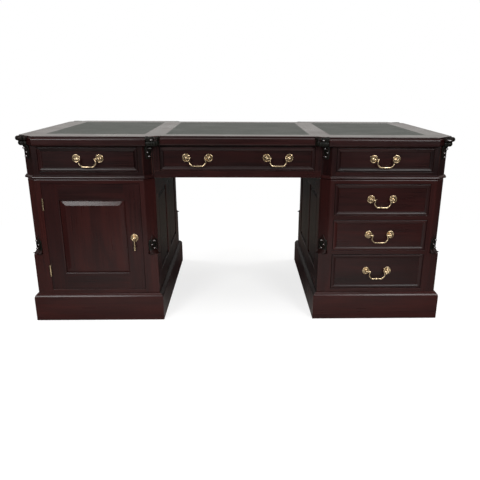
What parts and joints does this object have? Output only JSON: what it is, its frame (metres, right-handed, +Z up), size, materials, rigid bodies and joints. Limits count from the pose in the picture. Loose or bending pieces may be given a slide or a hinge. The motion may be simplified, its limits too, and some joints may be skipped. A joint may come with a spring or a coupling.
{
  "type": "partners desk",
  "caption": "Pedestal partners desk with a leather-lined breakfront top, frieze drawers, pedestal drawers and panelled cupboards on both sides, brass bail handles and carved canted corners.",
  "frame": {"origin": "on the floor under the middle of the desk", "axes": "+X to the right of the front, along the longest side; the front faces -Y; +Z up"},
  "size_m": [1.83, 0.915, 0.809],
  "materials": {
    "mahogany": "satin polished dark red mahogany",
    "lining_wood": "plain waxed lining timber",
    "green_leather": "dark green hide, fine grain",
    "antique_brass": "aged, polished on the high spots"
  },
  "bodies": {
    "desk": {"writing_top": "mahogany", "leather_insets": "green_leather", "frieze_frame": "mahogany", "corner_brackets": "mahogany", "waist_moulding": "mahogany", "pedestal_frame_right": "mahogany", "pedestal_frame_left": "mahogany", "pedestal_side_panels": "mahogany", "pedestal_linings": "lining_wood", "cupboard_shelves": "lining_wood", "drawer_runners": "lining_wood", "corner_stops": "mahogany", "plinths": "mahogany", "hinge_leaves_fixed": "antique_brass"},
    "drawer_front_frieze_left": {"drawer_front_frieze_left": "mahogany", "rosettes_front_frieze_left": "antique_brass"},
    "bail_front_frieze_left": {"bail_front_frieze_left": "antique_brass"},
    "drawer_front_frieze_centre": {"drawer_front_frieze_centre": "mahogany", "rosettes_front_frieze_centre": "antique_brass"},
    "bail_front_frieze_centre_left": {"bail_front_frieze_centre_left": "antique_brass"},
    "bail_front_frieze_centre_right": {"bail_front_frieze_centre_right": "antique_brass"},
    "drawer_front_frieze_right": {"drawer_front_frieze_right": "mahogany", "rosettes_front_frieze_right": "antique_brass"},
    "bail_front_frieze_right": {"bail_front_frieze_right": "antique_brass"},
    "drawer_front_pedestal_bottom": {"drawer_front_pedestal_bottom": "mahogany", "rosettes_front_pedestal_bottom": "antique_brass"},
    "bail_front_pedestal_bottom": {"bail_front_pedestal_bottom": "antique_brass"},
    "drawer_front_pedestal_middle": {"drawer_front_pedestal_middle": "mahogany", "rosettes_front_pedestal_middle": "antique_brass"},
    "bail_front_pedestal_middle": {"bail_front_pedestal_middle": "antique_brass"},
    "drawer_front_pedestal_top": {"drawer_front_pedestal_top": "mahogany", "rosettes_front_pedestal_top": "antique_brass"},
    "bail_front_pedestal_top": {"bail_front_pedestal_top": "antique_brass"},
    "door_front": {"door_frame_front": "mahogany", "door_panel_front": "mahogany", "door_fittings_front": "antique_brass"},
    "drop_pull_front": {"drop_pull_front": "antique_brass"},
    "drawer_back_frieze_left": {"drawer_back_frieze_left": "mahogany", "rosettes_back_frieze_left": "antique_brass"},
    "bail_back_frieze_left": {"bail_back_frieze_left": "antique_brass"},
    "drawer_back_frieze_centre": {"drawer_back_frieze_centre": "mahogany", "rosettes_back_frieze_centre": "antique_brass"},
    "bail_back_frieze_centre_left": {"bail_back_frieze_centre_left": "antique_brass"},
    "bail_back_frieze_centre_right": {"bail_back_frieze_centre_right": "antique_brass"},
    "drawer_back_frieze_right": {"drawer_back_frieze_right": "mahogany", "rosettes_back_frieze_right": "antique_brass"},
    "bail_back_frieze_right": {"bail_back_frieze_right": "antique_brass"},
    "drawer_back_pedestal_bottom": {"drawer_back_pedestal_bottom": "mahogany", "rosettes_back_pedestal_bottom": "antique_brass"},
    "bail_back_pedestal_bottom": {"bail_back_pedestal_bottom": "antique_brass"},
    "drawer_back_pedestal_middle": {"drawer_back_pedestal_middle": "mahogany", "rosettes_back_pedestal_middle": "antique_brass"},
    "bail_back_pedestal_middle": {"bail_back_pedestal_middle": "antique_brass"},
    "drawer_back_pedestal_top": {"drawer_back_pedestal_top": "mahogany", "rosettes_back_pedestal_top": "antique_brass"},
    "bail_back_pedestal_top": {"bail_back_pedestal_top": "antique_brass"},
    "door_back": {"door_frame_back": "mahogany", "door_panel_back": "mahogany", "door_fittings_back": "antique_brass"},
    "drop_pull_back": {"drop_pull_back": "antique_brass"}
  },
  "joints": [
    {"name": "slide_front_frieze_left", "type": "slide", "parent": "desk", "child": "drawer_front_frieze_left", "axis": [0, -1, 0], "range_m": [0, 0.3]},
    {"name": "swing_front_frieze_left", "type": "hinge", "parent": "drawer_front_frieze_left", "child": "bail_front_frieze_left", "pos_m": [-0.62, -0.448, 0.71825], "axis": [-1, 0, 0], "range_deg": [0, 100]},
    {"name": "slide_front_frieze_centre", "type": "slide", "parent": "desk", "child": "drawer_front_frieze_centre", "axis": [0, -1, 0], "range_m": [0, 0.27]},
    {"name": "swing_front_frieze_centre_left", "type": "hinge", "parent": "drawer_front_frieze_centre", "child": "bail_front_frieze_centre_left", "pos_m": [-0.17, -0.416, 0.71825], "axis": [-1, 0, 0], "range_deg": [0, 100]},
    {"name": "swing_front_frieze_centre_right", "type": "hinge", "parent": "drawer_front_frieze_centre", "child": "bail_front_frieze_centre_right", "pos_m": [0.17, -0.416, 0.71825], "axis": [-1, 0, 0], "range_deg": [0, 100]},
    {"name": "slide_front_frieze_right", "type": "slide", "parent": "desk", "child": "drawer_front_frieze_right", "axis": [0, -1, 0], "range_m": [0, 0.3]},
    {"name": "swing_front_frieze_right", "type": "hinge", "parent": "drawer_front_frieze_right", "child": "bail_front_frieze_right", "pos_m": [0.62, -0.448, 0.71825], "axis": [-1, 0, 0], "range_deg": [0, 100]},
    {"name": "slide_front_pedestal_bottom", "type": "slide", "parent": "desk", "child": "drawer_front_pedestal_bottom", "axis": [0, -1, 0], "range_m": [0, 0.3]},
    {"name": "swing_front_pedestal_bottom", "type": "hinge", "parent": "drawer_front_pedestal_bottom", "child": "bail_front_pedestal_bottom", "pos_m": [0.62, -0.448, 0.22458], "axis": [-1, 0, 0], "range_deg": [0, 100]},
    {"name": "slide_front_pedestal_middle", "type": "slide", "parent": "desk", "child": "drawer_front_pedestal_middle", "axis": [0, -1, 0], "range_m": [0, 0.3]},
    {"name": "swing_front_pedestal_middle", "type": "hinge", "parent": "drawer_front_pedestal_middle", "child": "bail_front_pedestal_middle", "pos_m": [0.62, -0.448, 0.39175], "axis": [-1, 0, 0], "range_deg": [0, 100]},
    {"name": "slide_front_pedestal_top", "type": "slide", "parent": "desk", "child": "drawer_front_pedestal_top", "axis": [0, -1, 0], "range_m": [0, 0.3]},
    {"name": "swing_front_pedestal_top", "type": "hinge", "parent": "drawer_front_pedestal_top", "child": "bail_front_pedestal_top", "pos_m": [0.62, -0.448, 0.54792], "axis": [-1, 0, 0], "range_deg": [0, 100]},
    {"name": "door_hinge_front", "type": "hinge", "parent": "desk", "child": "door_front", "pos_m": [-0.82525, -0.436, 0.37775], "axis": [0, 0, -1], "range_deg": [0, 160]},
    {"name": "drop_pull_swing_front", "type": "hinge", "parent": "door_front", "child": "drop_pull_front", "pos_m": [-0.4495, -0.443, 0.37975], "axis": [-1, 0, 0], "range_deg": [0, 95]},
    {"name": "slide_back_frieze_left", "type": "slide", "parent": "desk", "child": "drawer_back_frieze_left", "axis": [0, 1, 0], "range_m": [0, 0.3]},
    {"name": "swing_back_frieze_left", "type": "hinge", "parent": "drawer_back_frieze_left", "child": "bail_back_frieze_left", "pos_m": [0.62, 0.448, 0.71825], "axis": [1, 0, 0], "range_deg": [0, 100]},
    {"name": "slide_back_frieze_centre", "type": "slide", "parent": "desk", "child": "drawer_back_frieze_centre", "axis": [0, 1, 0], "range_m": [0, 0.27]},
    {"name": "swing_back_frieze_centre_left", "type": "hinge", "parent": "drawer_back_frieze_centre", "child": "bail_back_frieze_centre_left", "pos_m": [0.17, 0.416, 0.71825], "axis": [1, 0, 0], "range_deg": [0, 100]},
    {"name": "swing_back_frieze_centre_right", "type": "hinge", "parent": "drawer_back_frieze_centre", "child": "bail_back_frieze_centre_right", "pos_m": [-0.17, 0.416, 0.71825], "axis": [1, 0, 0], "range_deg": [0, 100]},
    {"name": "slide_back_frieze_right", "type": "slide", "parent": "desk", "child": "drawer_back_frieze_right", "axis": [0, 1, 0], "range_m": [0, 0.3]},
    {"name": "swing_back_frieze_right", "type": "hinge", "parent": "drawer_back_frieze_right", "child": "bail_back_frieze_right", "pos_m": [-0.62, 0.448, 0.71825], "axis": [1, 0, 0], "range_deg": [0, 100]},
    {"name": "slide_back_pedestal_bottom", "type": "slide", "parent": "desk", "child": "drawer_back_pedestal_bottom", "axis": [0, 1, 0], "range_m": [0, 0.3]},
    {"name": "swing_back_pedestal_bottom", "type": "hinge", "parent": "drawer_back_pedestal_bottom", "child": "bail_back_pedestal_bottom", "pos_m": [-0.62, 0.448, 0.22458], "axis": [1, 0, 0], "range_deg": [0, 100]},
    {"name": "slide_back_pedestal_middle", "type": "slide", "parent": "desk", "child": "drawer_back_pedestal_middle", "axis": [0, 1, 0], "range_m": [0, 0.3]},
    {"name": "swing_back_pedestal_middle", "type": "hinge", "parent": "drawer_back_pedestal_middle", "child": "bail_back_pedestal_middle", "pos_m": [-0.62, 0.448, 0.39175], "axis": [1, 0, 0], "range_deg": [0, 100]},
    {"name": "slide_back_pedestal_top", "type": "slide", "parent": "desk", "child": "drawer_back_pedestal_top", "axis": [0, 1, 0], "range_m": [0, 0.3]},
    {"name": "swing_back_pedestal_top", "type": "hinge", "parent": "drawer_back_pedestal_top", "child": "bail_back_pedestal_top", "pos_m": [-0.62, 0.448, 0.54792], "axis": [1, 0, 0], "range_deg": [0, 100]},
    {"name": "door_hinge_back", "type": "hinge", "parent": "desk", "child": "door_back", "pos_m": [0.82525, 0.436, 0.37775], "axis": [0, 0, -1], "range_deg": [0, 160]},
    {"name": "drop_pull_swing_back", "type": "hinge", "parent": "door_back", "child": "drop_pull_back", "pos_m": [0.4495, 0.443, 0.37975], "axis": [1, 0, 0], "range_deg": [0, 95]}
  ]
}
